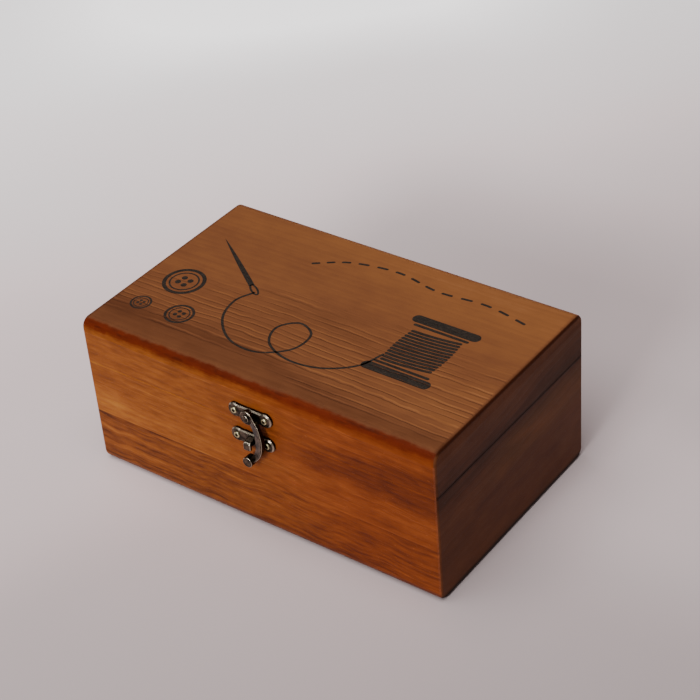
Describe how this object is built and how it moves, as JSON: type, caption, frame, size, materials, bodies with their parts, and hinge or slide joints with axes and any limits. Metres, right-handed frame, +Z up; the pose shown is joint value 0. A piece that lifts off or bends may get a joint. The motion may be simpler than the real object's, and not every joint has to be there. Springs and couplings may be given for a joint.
{
  "type": "sewing box",
  "caption": "Hinged wooden sewing box with rounded long edges, a horn swing latch in front, butt hinges behind and a divided lift-out tray.",
  "frame": {"origin": "centre of the flat underside", "axes": "+X to the right along the front, +Y from the front to the back, +Z up"},
  "size_m": [0.24, 0.1593, 0.1],
  "materials": {
    "stained_pine": "brown-stained pine under thin satin lacquer",
    "bottom_board": "thin stained board, matt",
    "tray_wood": "lightly stained pine, matt",
    "antique_bronze": "antiqued, dark in the hollows and rubbed bright on the edges",
    "brass_screw": "worn brass"
  },
  "bodies": {
    "base": {"base_front_wall": "stained_pine", "base_back_wall": "stained_pine", "base_left_wall": "stained_pine", "base_right_wall": "stained_pine", "base_bottom_panel": "bottom_board", "left_tray_ledge": "stained_pine", "right_tray_ledge": "stained_pine", "catch_plate": "antique_bronze", "catch_screws": "brass_screw", "left_hinge_base_leaf": "antique_bronze", "right_hinge_base_leaf": "antique_bronze", "left_hinge_pin": "antique_bronze", "right_hinge_pin": "antique_bronze", "left_hinge_base_screws": "brass_screw", "right_hinge_base_screws": "brass_screw"},
    "lid": {"lid_top_panel": "stained_pine", "lid_front_wall": "stained_pine", "lid_back_wall": "stained_pine", "lid_left_wall": "stained_pine", "lid_right_wall": "stained_pine", "latch_plate": "antique_bronze", "latch_screws": "brass_screw", "latch_rivet": "antique_bronze", "left_hinge_lid_leaf": "antique_bronze", "right_hinge_lid_leaf": "antique_bronze", "left_hinge_lid_screws": "brass_screw", "right_hinge_lid_screws": "brass_screw"},
    "hook": {"latch_hook": "antique_bronze"},
    "tray": {"tray_front_wall": "tray_wood", "tray_back_wall": "tray_wood", "tray_left_wall": "tray_wood", "tray_right_wall": "tray_wood", "tray_floor": "tray_wood", "tray_long_divider": "tray_wood", "tray_cross_divider_left": "tray_wood", "tray_cross_divider_right": "tray_wood"}
  },
  "joints": [
    {"name": "lid_hinge", "type": "hinge", "parent": "base", "child": "lid", "pos_m": [0, 0.07556, 0.0715], "axis": [-1, 0, 0], "range_deg": [0, 180]},
    {"name": "hook_swing", "type": "hinge", "parent": "lid", "child": "hook", "pos_m": [0.0009, -0.0735, 0.0803], "axis": [0, -1, 0], "range_deg": [-6, 180]},
    {"name": "tray_lift", "type": "slide", "parent": "base", "child": "tray", "axis": [0, 0, 1], "range_m": [0, 0.022]}
  ]
}
